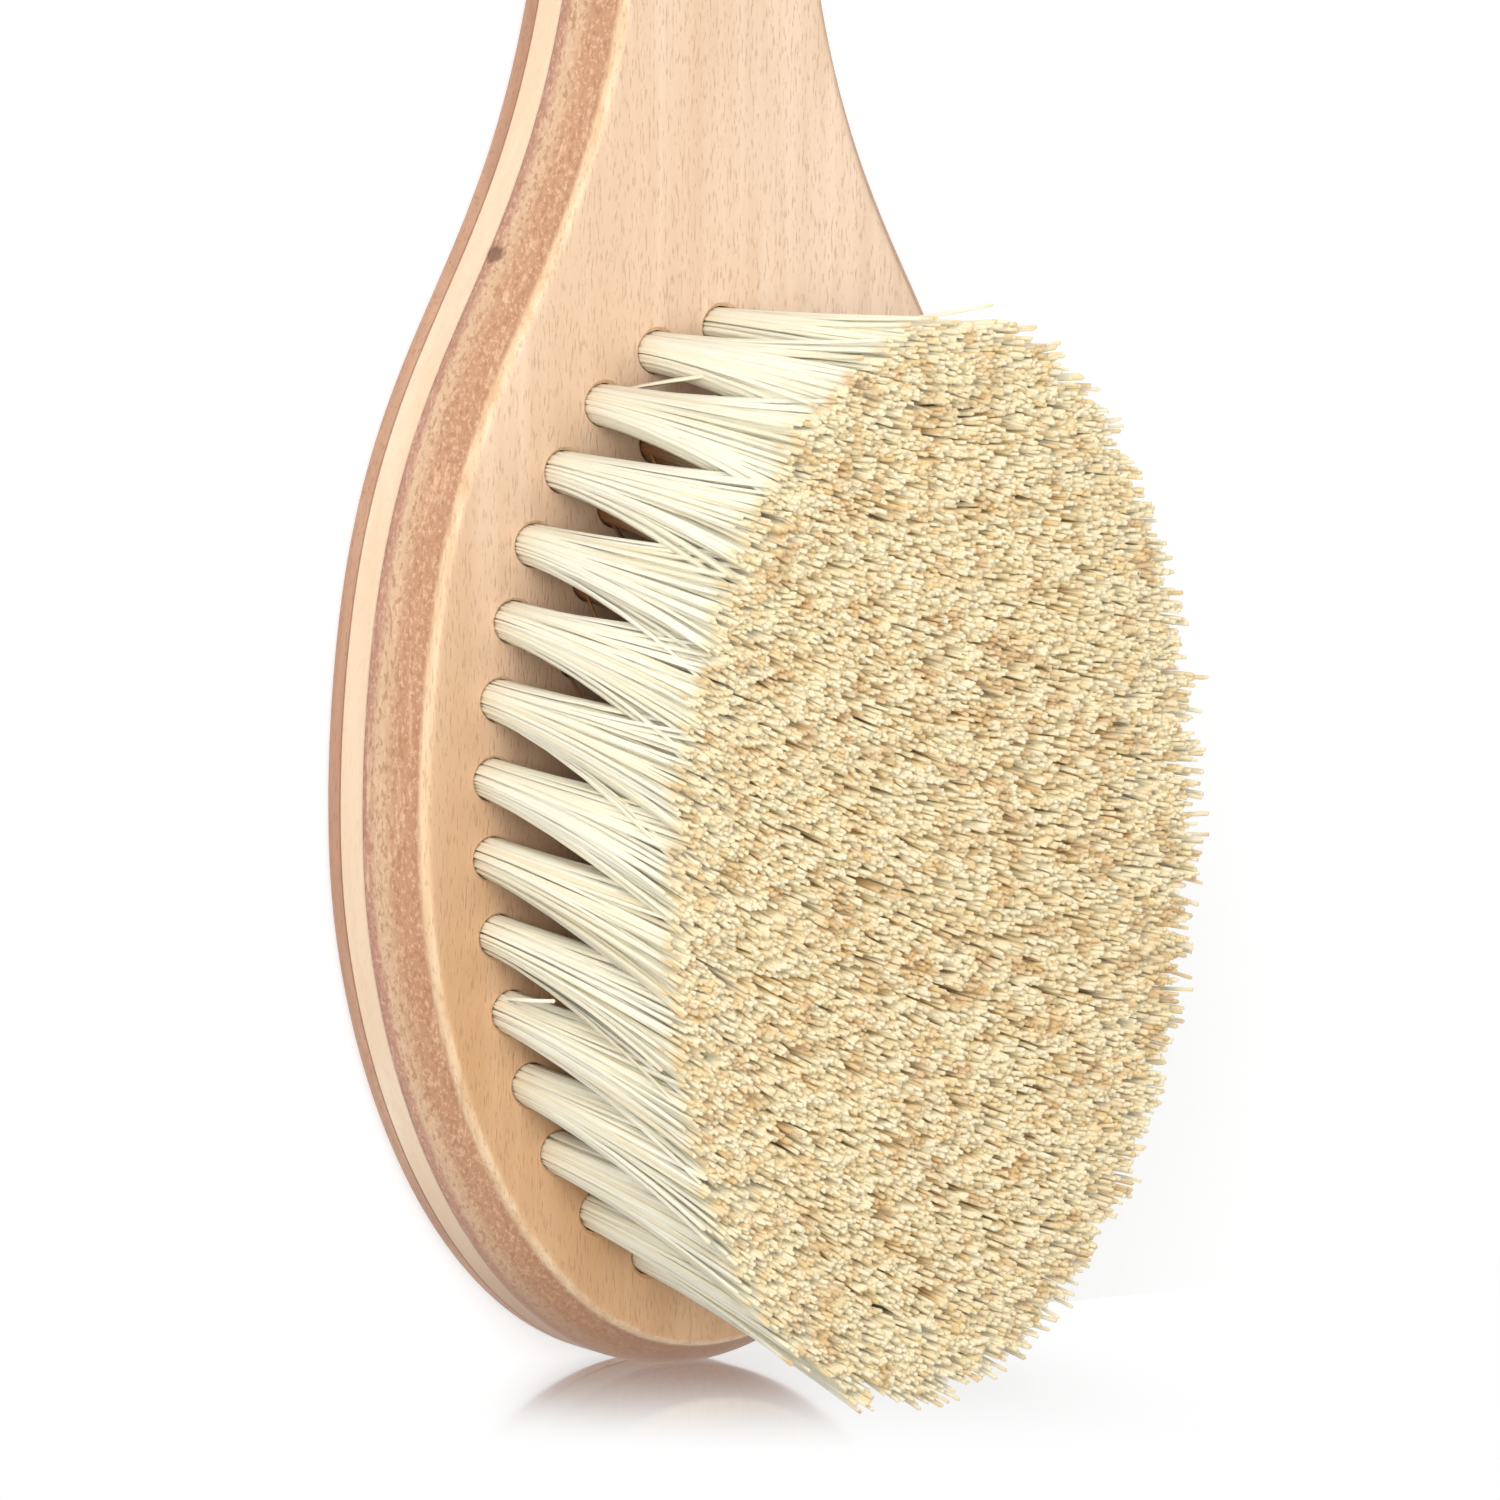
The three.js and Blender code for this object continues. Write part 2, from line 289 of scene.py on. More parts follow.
def hole_cutters(stems):
    """One object with a round cutter for each hole, a little wider at the hole's mouth."""
    profile = [
        (HOLE_RADIUS, -HOLE_DEPTH),
        (HOLE_RADIUS, -HOLE_CHAMFER),
        (HOLE_RADIUS + 2 * HOLE_CHAMFER, HOLE_CHAMFER),
    ]
    vertices, faces = [], []
    for root, axis in stems:
        turn = axis.to_track_quat("Z", "Y")
        first = len(vertices)
        for radius, height in profile:
            for i in range(HOLE_SIDES):
                a = 2 * math.pi * i / HOLE_SIDES
                local = Vector((radius * math.cos(a), radius * math.sin(a), height))
                vertices.append(root + turn @ local)
        faces.append(tuple(reversed(range(first, first + HOLE_SIDES))))
        for level in range(len(profile) - 1):
            low = first + level * HOLE_SIDES
            for i in range(HOLE_SIDES):
                j = (i + 1) % HOLE_SIDES
                faces.append((low + i, low + j, low + HOLE_SIDES + j, low + HOLE_SIDES + i))
        top = first + (len(profile) - 1) * HOLE_SIDES
        faces.append(tuple(range(top, top + HOLE_SIDES)))
    return new_mesh("hole_cutters", vertices, faces)


def groove_cutter(wire):
    """The wire's own shape, grown by its clearance and sunk so that it opens the hidden side."""
    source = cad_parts[wire]
    cutter = source.copy()
    cutter.data = source.data.copy()
    cutter.parent = None
    bpy.context.collection.objects.link(cutter)
    mesh = cutter.data
    merge_doubles(mesh)
    grown = [v.co + v.normal * GROOVE_GAP - Vector((0, 0, GROOVE_SINK)) for v in mesh.vertices]
    for vertex, place in zip(mesh.vertices, grown):
        vertex.co = place
    mesh.update()
    return cutter


def merge_doubles(mesh):
    work = bmesh.new()
    work.from_mesh(mesh)
    bmesh.ops.remove_doubles(work, verts=work.verts, dist=0.01 * MM)
    work.to_mesh(mesh)
    work.free()


# Tufts


def stems_of(node):
    """The (root on the face, axis) of each tuft in a CAD tuft node."""
    points = np.array([v.co[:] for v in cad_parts[node].data.vertices])
    points = np.unique(points.round(7), axis=0)
    low = points[points[:, 2] < points[:, 2].min() + 2 * RING_SLACK]
    mouth = points[abs(points[:, 2] - FACE_TOP) < RING_SLACK]
    stems = []
    for bottom, top in zip(split_bundle(low, node), split_bundle(mouth, node)):
        root = Vector((top.max(0) + top.min(0)) / 2)
        base = Vector((bottom.max(0) + bottom.min(0)) / 2)
        stems.append((root, (root - base).normalized()))
    return stems


def split_bundle(points, node):
    """The points of each tuft in the node: all of them, or the two halves of a pair."""
    if "pair" not in node:
        return [points]
    flat = points[:, :2] - (points[:, :2].max(0) + points[:, :2].min(0)) / 2
    direction = np.linalg.svd(flat, full_matrices=False)[2][0]
    direction = direction if direction[0] + 0.01 * direction[1] > 0 else -direction
    side = flat @ direction > 0
    return [points[~side], points[side]]


def bundle_layout(across_spread, rng):
    """Each fibre of a bundle: its place at the root, its spread, its bend and if it is a stray."""
    count = FIBRES_PER_TUFT
    index = np.arange(count)
    radius = BUNDLE_RADIUS * np.sqrt((index + 0.5) / count)
    angle = index * math.pi * (3 - math.sqrt(5)) + rng.uniform(-ANGLE_JITTER, ANGLE_JITTER, count)
    outward = np.column_stack([np.cos(angle), np.sin(angle)])
    start = outward * radius[:, None]
    spread = start / BUNDLE_RADIUS * np.array([SPREAD_ALONG, across_spread])
    spread += rng.normal(0, SPREAD_JITTER, (count, 2))
    stray = rng.random(count) < STRAY_SHARE
    spread[stray] = outward[stray] * STRAY_SPREAD
    bend = rng.normal(0, BEND, (count, 2))
    return start, spread, bend, stray


def fibre_paths(root, axis, across_spread, rng):
    """Stations of every fibre in one tuft as [fibre, station, xyz], and each one's way outward."""
    start, spread, bend, stray = bundle_layout(across_spread, rng)
    flare = np.where(stray, 1.0, FLARE)[:, None]
    along = ring_direction(root)
    along = (along - axis * along.dot(axis)).normalized()
    across = np.array([along[:], axis.cross(along)[:]])
    length = (TIP_HEIGHT - FACE_TOP) / axis.z - rng.uniform(0, TRIM_UNEVEN, FIBRES_PER_TUFT)
    length[stray] *= STRAY_LENGTH
    depth = (root.z - PALE_TOP) / axis.z - FOOT_CLEARANCE
    reach = tip_drift(root)
    up = np.array(axis[:])
    root = np.array(root[:])
    stations = [root + (start @ across) - up * depth, root + start @ across]
    for share in FIBRE_STATIONS:
        height = length * share
        side = start + spread * share**flare + bend * share**2
        drift = np.array([-reach * share**DRIFT_CURVE, 0, 0])
        stations.append(root + side @ across + up * height[:, None] + drift)
    return gather_clumps(np.stack(stations, 1)), start / BUNDLE_RADIUS @ across


def tip_drift(root):
    """How far the tips of the tuft with this root drift towards the head's tip."""
    from_neck = (FIELD_END.x - root.x) / (2 * FIELD_HALF_LENGTH)
    return COMBED * (1 - from_neck**2) + TWIST * (root.y / FIELD_HALF_WIDTH)


def ring_direction(root):
    """The direction of a tuft's ring at its root: along the oval through it."""
    x = (root.x - FIELD_CENTRE) / FIELD_HALF_LENGTH**2
    y = root.y / FIELD_HALF_WIDTH**2
    return Vector((-y, x, 0)).normalized() if x or y else Vector((1, 0, 0))


def gather_clumps(paths):
    """Draws fibre ends together in small locks, more so towards the tips."""
    tips = paths[:, -1]
    coarse = np.array([noise_at(tip / CLUMP_SIZE) for tip in tips])
    fine = np.array([noise_at(tip / CLUMP_SIZE * CLUMP_FINER) for tip in tips])
    shift = (coarse + 0.5 * fine) * CLUMP_PULL
    shift[:, 2] = -abs(shift[:, 2]) * CLUMP_SINK
    shares = np.array((0, 0, *FIBRE_STATIONS)) ** CLUMP_CURVE
    return paths + shift[:, None] * shares[None, :, None]


def noise_at(place):
    """Three smooth noises at a place. noise.noise_vector would differ from run to run."""
    place = Vector(place)
    return [noise.noise(place + Vector((apart, -apart, apart))) for apart in (0, 17.3, 41.9)]


def make_tuft(name, stems, seed):
    """One piece: every fibre of the tuft or the pair as a fine closed tube."""
    rng = np.random.default_rng(seed)
    spread = SPREAD_OUTER if name.startswith("outer") else SPREAD_INNER
    bundles = [fibre_paths(root, axis, spread, rng) for root, axis in stems]
    paths = np.concatenate([bundle[0] for bundle in bundles])
    outward = np.concatenate([bundle[1] for bundle in bundles])
    paths[:, :, 2] = np.minimum(paths[:, :, 2], TIP_HEIGHT)
    count, stations = paths.shape[:2]
    vertices, radial = tube_vertices(paths, rng)
    normals = bundle_normals(radial, outward, stations)
    piece = quad_mesh(name, vertices, tube_quads(count, stations), normals)
    per_fibre = stations * FIBRE_SIDES
    add_values(piece, "tone", np.repeat(rng.random(count), per_fibre))
    add_values(piece, "inner", np.full(count * per_fibre, float(spread == SPREAD_INNER)))
    return piece


def along_stations(count, shares_and_values):
    """A value for each of this many stations, from one of the tables at the top."""
    return np.interp(np.arange(count) / (count - 1), *shares_and_values)


def tube_vertices(paths, rng):
    """The vertices of a tube round each path, and the way out of the tube at each of its sides."""
    count, stations = paths.shape[:2]
    thick = FIBRE_RADIUS * rng.uniform(0.8, 1.15, count)
    thick = thick[:, None] * along_stations(stations, THICKENING)
    side = 2 * math.pi * np.arange(FIBRE_SIDES) / FIBRE_SIDES
    turn = rng.uniform(0, math.pi, count)[:, None] + side
    radial = np.stack([np.cos(turn), np.sin(turn), 0 * turn], -1)
    vertices = paths[:, :, None] + radial[:, None] * thick[:, :, None, None]
    return vertices.reshape(-1, 3), radial


def bundle_normals(radial, outward, stations):
    """Normals that follow the round of the tuft at its root and rise at its tips."""
    rise = along_stations(stations, NORMALS_RISE)
    roundness = BUNDLE_SHADE * along_stations(stations, NORMALS_ROUND)
    normals = radial[:, None] + outward[:, None, None] * roundness[None, :, None, None]
    normals = normals + rise[None, :, None, None] * np.array([0, 0, 1.0])
    return normals.reshape(-1, 3)


def tube_quads(count, stations):
    """The four corners of every face of this many closed tubes."""
    ring = np.arange(FIBRE_SIDES)
    ahead = (ring + 1) % FIBRE_SIDES
    quads = []
    for s in range(stations - 1):
        low, high = s * FIBRE_SIDES, (s + 1) * FIBRE_SIDES
        quads.append(np.column_stack([low + ring, low + ahead, high + ahead, high + ring]))
    quads.append(ring[::-1][None])
    quads.append((ring + (stations - 1) * FIBRE_SIDES)[None])
    one = np.concatenate(quads)
    first = np.arange(count) * stations * FIBRE_SIDES
    return (one[None] + first[:, None, None]).reshape(-1, 4)


def add_values(piece, name, values):
    made = piece.data.attributes.new(name, "FLOAT", "POINT")
    made.data.foreach_set("value", values.astype(np.float32))


def quad_mesh(name, vertices, quads, normals):
    mesh = bpy.data.meshes.new(name)
    mesh.vertices.add(len(vertices))
    mesh.vertices.foreach_set("co", vertices.astype(np.float32).ravel())
    mesh.loops.add(quads.size)
    mesh.loops.foreach_set("vertex_index", quads.astype(np.int32).ravel())
    mesh.polygons.add(len(quads))
    mesh.polygons.foreach_set("loop_start", np.arange(0, quads.size, 4, dtype=np.int32))
    mesh.update(calc_edges=True)
    mesh.validate()
    normals = normals / np.linalg.norm(normals, axis=1)[:, None]
    mesh.normals_split_custom_set_from_vertices(normals)
    piece = bpy.data.objects.new(name, mesh)
    bpy.context.collection.objects.link(piece)
    return piece


# Materials


def colour(red, green, blue):
    """A linear colour from its sRGB bytes."""
    def linear(byte):
        share = byte / 255
        return share / 12.92 if share <= 0.04045 else ((share + 0.055) / 1.055) ** 2.4
    return (linear(red), linear(green), linear(blue), 1.0)


class Nodes:
    """Short calls for building one material's node tree."""

    def __init__(self, name):
        self.material = bpy.data.materials.new(name)
        self.material.use_nodes = True
        self.tree = self.material.node_tree
        self.tree.nodes.clear()
        self.output = self.tree.nodes.new("ShaderNodeOutputMaterial")

    def node(self, kind, **settings):
        made = self.tree.nodes.new(kind)
        for key, value in settings.items():
            setattr(made, key, value)
        return made

    def link(self, source, target):
        self.tree.links.new(source, target)

    def set(self, socket, value):
        if isinstance(value, bpy.types.NodeSocket):
            self.link(value, socket)
        else:
            socket.default_value = value

    def coords(self, scale):
        place = self.node("ShaderNodeTexCoord")
        mapping = self.node("ShaderNodeMapping")
        mapping.inputs["Scale"].default_value = scale
        self.link(place.outputs["Object"], mapping.inputs["Vector"])
        return mapping.outputs["Vector"]

    def noise(self, scale, detail=3, roughness=0.55, distortion=0.0):
        made = self.node("ShaderNodeTexNoise")
        self.link(self.coords(scale), made.inputs["Vector"])
        made.inputs["Scale"].default_value = 1
        made.inputs["Detail"].default_value = detail
        made.inputs["Roughness"].default_value = roughness
        made.inputs["Distortion"].default_value = distortion
        return made.outputs["Fac"]

    def ramp(self, value, stops):
        made = self.node("ShaderNodeValToRGB")
        self.link(value, made.inputs["Fac"])
        elements = made.color_ramp.elements
        while len(elements) < len(stops):
            elements.new(1.0)
        for element, (place, shade) in zip(elements, stops):
            element.position = place
            element.color = shade
        return made.outputs["Color"]

    def grey_ramp(self, value, low, high):
        """0 at low, 1 at high, smooth between."""
        made = self.node("ShaderNodeMapRange", interpolation_type="SMOOTHSTEP")
        self.link(value, made.inputs["Value"])
        made.inputs["From Min"].default_value = low
        made.inputs["From Max"].default_value = high
        return made.outputs["Result"]

    def mix(self, factor, a, b, blend="MIX"):
        made = self.node("ShaderNodeMix", data_type="RGBA", blend_type=blend)
        self.set(made.inputs["Factor"], factor)
        self.set(made.inputs["A"], a)
        self.set(made.inputs["B"], b)
        return made.outputs["Result"]

    def tint(self, base, mask, share, shade):
        """The base with a share of this shade over it where the mask is 1."""
        return self.mix(self.math("MULTIPLY", mask, share), base, colour(*shade))

    def mix_shaders(self, factor, a, b):
        made = self.node("ShaderNodeMixShader")
        self.set(made.inputs[0], factor)
        self.link(a, made.inputs[1])
        self.link(b, made.inputs[2])
        return made.outputs[0]

    def attribute(self, name):
        return self.node("ShaderNodeAttribute", attribute_name=name).outputs["Fac"]

    def math(self, operation, a, b=0.0):
        made = self.node("ShaderNodeMath", operation=operation)
        self.set(made.inputs[0], a)
        self.set(made.inputs[1], b)
        return made.outputs[0]

    def place(self):
        """The place on the object, as X, Y and Z."""
        made = self.node("ShaderNodeSeparateXYZ")
        self.link(self.node("ShaderNodeTexCoord").outputs["Object"], made.inputs[0])
        return made.outputs

    def facing(self):
        """The object's own normal, as X, Y and Z."""
        made = self.node("ShaderNodeSeparateXYZ")
        self.link(self.node("ShaderNodeTexCoord").outputs["Normal"], made.inputs[0])
        return made.outputs

    def bump(self, height, distance, strength=1.0):
        made = self.node("ShaderNodeBump")
        made.inputs["Strength"].default_value = strength
        made.inputs["Distance"].default_value = distance
        self.link(height, made.inputs["Height"])
        return made.outputs["Normal"]

    def principled(self, base, roughness, normal=None, **constants):
        made = self.node("ShaderNodeBsdfPrincipled")
        self.set(made.inputs["Base Color"], base)
        self.set(made.inputs["Roughness"], roughness)
        if normal is not None:
            self.link(normal, made.inputs["Normal"])
        for key, value in constants.items():
            made.inputs[key.replace("_", " ")].default_value = value
        self.link(made.outputs["BSDF"], self.output.inputs["Surface"])
        return made


def wood_layers(nodes, light, dark):
    """Beech: broad bands, fine streaks and short dark flecks, all drawn out along the grain."""
    bands = nodes.noise((7, 150, 260), detail=3, distortion=0.4)
    streaks = nodes.noise((45, 1100, 1100), detail=4)
    flecks = nodes.noise((1000, 6000, 6000), detail=2, roughness=0.6)
    base = nodes.mix(nodes.grey_ramp(bands, 0.3, 0.7), light, dark)
    streak_tone = nodes.grey_ramp(streaks, 0.35, 0.68)
    base = nodes.mix(nodes.math("MULTIPLY", streak_tone, 0.5), base, dark)
    fleck_mask = nodes.grey_ramp(flecks, 0.55, 0.68)
    return base, streaks, fleck_mask


def face_wood_material():
    nodes = Nodes("face_wood_finish")
    place = nodes.place()
    # painted shade: the face wood is darker towards the head's tip, where less light falls and the
    # tufts shade it
    less_shade_towards_neck = nodes.grey_ramp(place["X"], HEAD_TIP + 12 * MM, HEAD_TIP + 75 * MM)
    light = nodes.mix(less_shade_towards_neck, colour(232, 190, 148), colour(240, 213, 187))
    dark = nodes.mix(less_shade_towards_neck, colour(212, 166, 120), colour(222, 188, 156))
    face, streaks, flecks = wood_layers(nodes, light, dark)
    # painted highlight: the rounded edge round the face is coloured paler, as it looks where it
    # catches the light
    on_highlight = nodes.grey_ramp(place["Z"], EDGE_START - 0.25 * MM, EDGE_START + 0.1 * MM)
    highlight_streaks = nodes.grey_ramp(streaks, 0.35, 0.65)
    edge = nodes.mix(highlight_streaks, colour(240, 208, 170), colour(224, 184, 142))
    base = nodes.mix(on_highlight, side_grain(nodes, place), edge)
    on_face = nodes.grey_ramp(place["Z"], FACE_TOP - 0.16 * MM, FACE_TOP - 0.02 * MM)
    base = nodes.mix(on_face, base, face)
    base = nodes.tint(base, flecks, 0.4, (184, 134, 94))
    base = add_glue_line(nodes, base, PALE_TOP, 0.25)
    base = add_knot(nodes, base)
    height = nodes.math("SUBTRACT", streaks, flecks)
    nodes.principled(base, 0.46, nodes.bump(height, 0.05 * MM, 0.5))
    return nodes.material


def growth_rings(nodes, place):
    """The broad layers that run out on the side of the face ply, and wander up and down."""
    drift = nodes.math("SUBTRACT", nodes.noise((14, 40, 60), detail=2), 0.5)
    share = nodes.math("SUBTRACT", place["Z"], PALE_TOP)
    share = nodes.math("DIVIDE", share, EDGE_START - PALE_TOP)
    share = nodes.math("ADD", share, nodes.math("MULTIPLY", drift, 0.5))
    return nodes.ramp(share, [
        (0.0, colour(180, 128, 108)),
        (0.2, colour(190, 140, 118)),
        (0.32, colour(216, 182, 148)),
        (0.48, colour(210, 172, 136)),
        (0.62, colour(192, 144, 110)),
        (1.0, colour(184, 134, 100)),
    ])


def side_grain(nodes, place):
    """The side of the face ply: growth rings, with pale streaks and dots and the pores' dark ends."""
    rings = growth_rings(nodes, place)
    streaks = nodes.noise((120, 900, 1500), detail=4, roughness=0.65)
    rings = nodes.mix(nodes.grey_ramp(streaks, 0.52, 0.74), rings, colour(222, 182, 146))
    dots = nodes.noise((2400, 3600, 3600), detail=3, roughness=0.7)
    rings = nodes.tint(rings, nodes.grey_ramp(dots, 0.5, 0.62), 0.5, (232, 194, 158))
    pores = nodes.noise((1500, 3000, 3000), detail=3, roughness=0.65)
    rings = nodes.tint(rings, nodes.grey_ramp(pores, 0.5, 0.64), 0.6, (164, 110, 76))
    return add_end_grain_and_shade(nodes, rings)


def add_end_grain_and_shade(nodes, base):
    """Darker where the grain ends on the surface, at the round tip and the handle's end: partly the
    end grain's own tone, partly painted shade.
    """
    ends = nodes.grey_ramp(nodes.math("ABSOLUTE", nodes.facing()["X"]), 0.35, 0.95)
    return nodes.tint(base, ends, 0.8, (152, 98, 60))


def pale_wood_material():
    nodes = Nodes("pale_wood_finish")
    base, streaks, flecks = wood_layers(nodes, colour(249, 226, 198), colour(240, 210, 176))
    base = nodes.tint(base, flecks, 0.25, (214, 176, 134))
    base = add_end_grain_and_shade(nodes, base)
    base = add_glue_line(nodes, base, BACK_TOP, 0.6)
    base = add_glue_line(nodes, base, PALE_TOP, 0.25)
    base = add_knot(nodes, base)
    nodes.principled(base, 0.48, nodes.bump(streaks, 0.05 * MM, 0.4))
    return nodes.material


def back_wood_material():
    nodes = Nodes("back_wood_finish")
    base, streaks, flecks = wood_layers(nodes, colour(208, 162, 130), colour(184, 136, 106))
    base = nodes.tint(base, flecks, 0.5, (150, 102, 74))
    base = add_glue_line(nodes, base, BACK_TOP, 0.6)
    height = nodes.math("SUBTRACT", streaks, flecks)
    nodes.principled(base, 0.46, nodes.bump(height, 0.05 * MM, 0.5))
    return nodes.material


def add_glue_line(nodes, base, height, strength):
    """The fine dark line where two plies meet."""
    away = nodes.math("ABSOLUTE", nodes.math("SUBTRACT", nodes.place()["Z"], height))
    dark = nodes.math("SUBTRACT", 1.0, nodes.grey_ramp(away, 0.05 * MM, 0.16 * MM))
    return nodes.tint(base, dark, strength, (128, 84, 60))


def add_knot(nodes, base):
    """A small dark knot on the left side, at the seam between the pale and the face ply."""
    place = nodes.place()
    along = nodes.math("SUBTRACT", place["X"], HEAD_TIP + KNOT_FROM_TIP)
    high = nodes.math("SUBTRACT", place["Z"], PALE_TOP + KNOT_OVER_SEAM)
    high = nodes.math("MULTIPLY", high, 0.66)
    wobble = nodes.math("MULTIPLY", nodes.noise((2500, 2500, 2500)), 0.5 * MM)
    along_squared = nodes.math("MULTIPLY", along, along)
    high_squared = nodes.math("MULTIPLY", high, high)
    reach = nodes.math("SQRT", nodes.math("ADD", along_squared, high_squared))
    reach = nodes.math("ADD", reach, wobble)
    inside = nodes.math("SUBTRACT", 1.0, nodes.grey_ramp(reach, KNOT_SOLID_TO, KNOT_GONE_BY))
    left = nodes.grey_ramp(place["Y"], 0.0, 5 * MM)
    return nodes.tint(base, nodes.math("MULTIPLY", inside, left), 0.8, (112, 70, 44))


def golden_fibre(nodes, tone):
    """The colour of the cut tips and of the inner fibres: golden, partly the fibres' own tone and
    partly painted warm shade of the gaps between them, with painted shade in darker locks and spots.
    """
    golden = nodes.ramp(tone, [
        (0.0, colour(234, 204, 148)),
        (0.2, colour(249, 234, 194)),
        (0.8, colour(253, 242, 210)),
        (1.0, colour(245, 226, 180)),
    ])
    # painted shade: darker golden locks and spots stand for the shaded gaps between locks of fibre
    # ends
    locks = nodes.grey_ramp(nodes.noise((420, 420, 160), detail=2), 0.48, 0.66)
    golden = nodes.tint(golden, locks, 0.4, (236, 200, 136))
    shade_spots = nodes.grey_ramp(nodes.noise((560, 560, 170), detail=1), 0.58, 0.68)
    return nodes.tint(golden, shade_spots, 0.5, (206, 156, 86))


def fibre_colour(nodes):
    """Cream along the outer tufts; golden at the tips and all along the inner tufts, partly painted
    warm shade of the gaps; and browner at the feet, which is painted shade.
    """
    tone = nodes.attribute("tone")
    inner = nodes.attribute("inner")
    height = nodes.place()["Z"]
    cream = nodes.ramp(tone, [
        (0.0, colour(240, 228, 196)),
        (0.2, colour(249, 243, 220)),
        (0.85, colour(251, 247, 228)),
        (1.0, colour(247, 238, 208)),
    ])
    near_tip = nodes.grey_ramp(height, TIP_HEIGHT - 2.6 * MM, TIP_HEIGHT - 0.6 * MM)
    # painted warm shade: golden near the tips, and all along the inner tufts that stand in the gaps
    base = nodes.mix(nodes.math("MAXIMUM", near_tip, inner), cream, golden_fibre(nodes, tone))
    streaks = nodes.grey_ramp(nodes.noise((3000, 3000, 400), detail=2), 0.4, 0.8)
    base = nodes.tint(base, streaks, 0.15, (240, 222, 180))
    # painted shade: browner at the feet of every tuft, and dark brown low down on the inner tufts
    above_shaded_foot = nodes.grey_ramp(height, FACE_TOP - 2 * MM, FACE_TOP + 3 * MM)
    base = nodes.mix(above_shaded_foot, nodes.mix(0.35, base, colour(238, 208, 172)), base)
    painted_root_shade = nodes.math("SUBTRACT", 1.0, nodes.grey_ramp(height, FACE_TOP, FACE_TOP + 14 * MM))
    return nodes.mix(nodes.math("MULTIPLY", inner, painted_root_shade), base, colour(156, 110, 70))


def fibre_material():
    nodes = Nodes("fibre_finish")
    base = fibre_colour(nodes)
    surface = nodes.principled(base, 0.5, Specular_IOR_Level=0.35)
    through = nodes.node("ShaderNodeBsdfTranslucent")
    nodes.link(base, through.inputs["Color"])
    both = nodes.mix_shaders(0.06, surface.outputs[0], through.outputs[0])
    nodes.link(both, nodes.output.inputs["Surface"])
    return nodes.material


def wire_material():
    nodes = Nodes("wire_finish")
    grain = nodes.noise((400, 3000, 3000), detail=3)
    base = nodes.ramp(grain, [(0.3, colour(176, 178, 182)), (0.7, colour(206, 208, 211))])
    nodes.principled(base, nodes.math("ADD", nodes.math("MULTIPLY", grain, 0.2), 0.2), Metallic=1.0)
    return nodes.material


# Stage, light and camera


def floor_material():
    """White to the camera apart from the shadows on it, and plain white to everything else."""
    nodes = Nodes("floor_finish")
    ray = nodes.node("ShaderNodeLightPath").outputs
    diffuse = nodes.node("ShaderNodeBsdfDiffuse")
    diffuse.inputs["Color"].default_value = (0.5, 0.5, 0.5, 1)
    glow = nodes.node("ShaderNodeEmission")
    nodes.link(floor_glow(nodes), glow.inputs["Strength"])
    seen = nodes.node("ShaderNodeAddShader")
    nodes.link(diffuse.outputs[0], seen.inputs[0])
    nodes.link(glow.outputs[0], seen.inputs[1])
    bounce = nodes.node("ShaderNodeBsdfDiffuse")
    bounce.inputs["Color"].default_value = (0.8, 0.8, 0.8, 1)
    shown = nodes.math("MAXIMUM", ray["Is Camera Ray"], ray["Is Glossy Ray"])
    shown = nodes.math("MAXIMUM", shown, ray["Is Transmission Ray"])
    both = nodes.mix_shaders(shown, bounce.outputs[0], seen.outputs[0])
    nodes.link(both, nodes.output.inputs["Surface"])
    return nodes.material


def floor_glow(nodes):
    """The strength of the floor's own light, which grows away from the brush."""
    away = nodes.node("ShaderNodeVectorMath", operation="LENGTH")
    nodes.link(nodes.node("ShaderNodeTexCoord").outputs["Object"], away.inputs[0])
    far = nodes.grey_ramp(away.outputs["Value"], *GLOW_GROWS)
    return nodes.math("ADD", nodes.math("MULTIPLY", far, GLOW_FAR - GLOW_NEAR), GLOW_NEAR)


def sheet_material():
    """A white glossy sheet, seen from its front only. It reflects what is seen at a low angle."""
    nodes = Nodes("sheet_finish")
    white = nodes.node("ShaderNodeEmission")
    gloss = nodes.node("ShaderNodeBsdfGlossy")
    gloss.inputs["Roughness"].default_value = GLOSS_ROUGHNESS
    gloss.inputs["Color"].default_value = (1, 1, 1, 1)
    front = nodes.mix_shaders(gloss_amount(nodes), white.outputs[0], gloss.outputs[0])
    clear = nodes.node("ShaderNodeBsdfTransparent")
    behind = nodes.node("ShaderNodeNewGeometry").outputs["Backfacing"]
    sided = nodes.mix_shaders(behind, front, clear.outputs[0])
    nodes.link(sided, nodes.output.inputs["Surface"])
    return nodes.material


def gloss_amount(nodes):
    """How much of the sheet's look is its reflection: less at steep angles and away from the brush."""
    facing = nodes.node("ShaderNodeLayerWeight")
    facing.inputs["Blend"].default_value = 0.5
    amount = nodes.grey_ramp(facing.outputs["Facing"], 0.6, 0.8)
    place = nodes.place()
    forwards = nodes.math("MULTIPLY", place["Y"], 0.53)
    forwards = nodes.math("ADD", forwards, nodes.math("MULTIPLY", place["Z"], 0.83))
    aside = nodes.math("ABSOLUTE", place["Y"])
    for distance, limits in ((forwards, GLOSS_FORWARDS), (aside, GLOSS_ASIDE)):
        gone = nodes.grey_ramp(distance, *limits)
        amount = nodes.math("MULTIPLY", amount, nodes.math("SUBTRACT", 1.0, gone))
    return nodes.math("MULTIPLY", amount, GLOSS_SHARE)


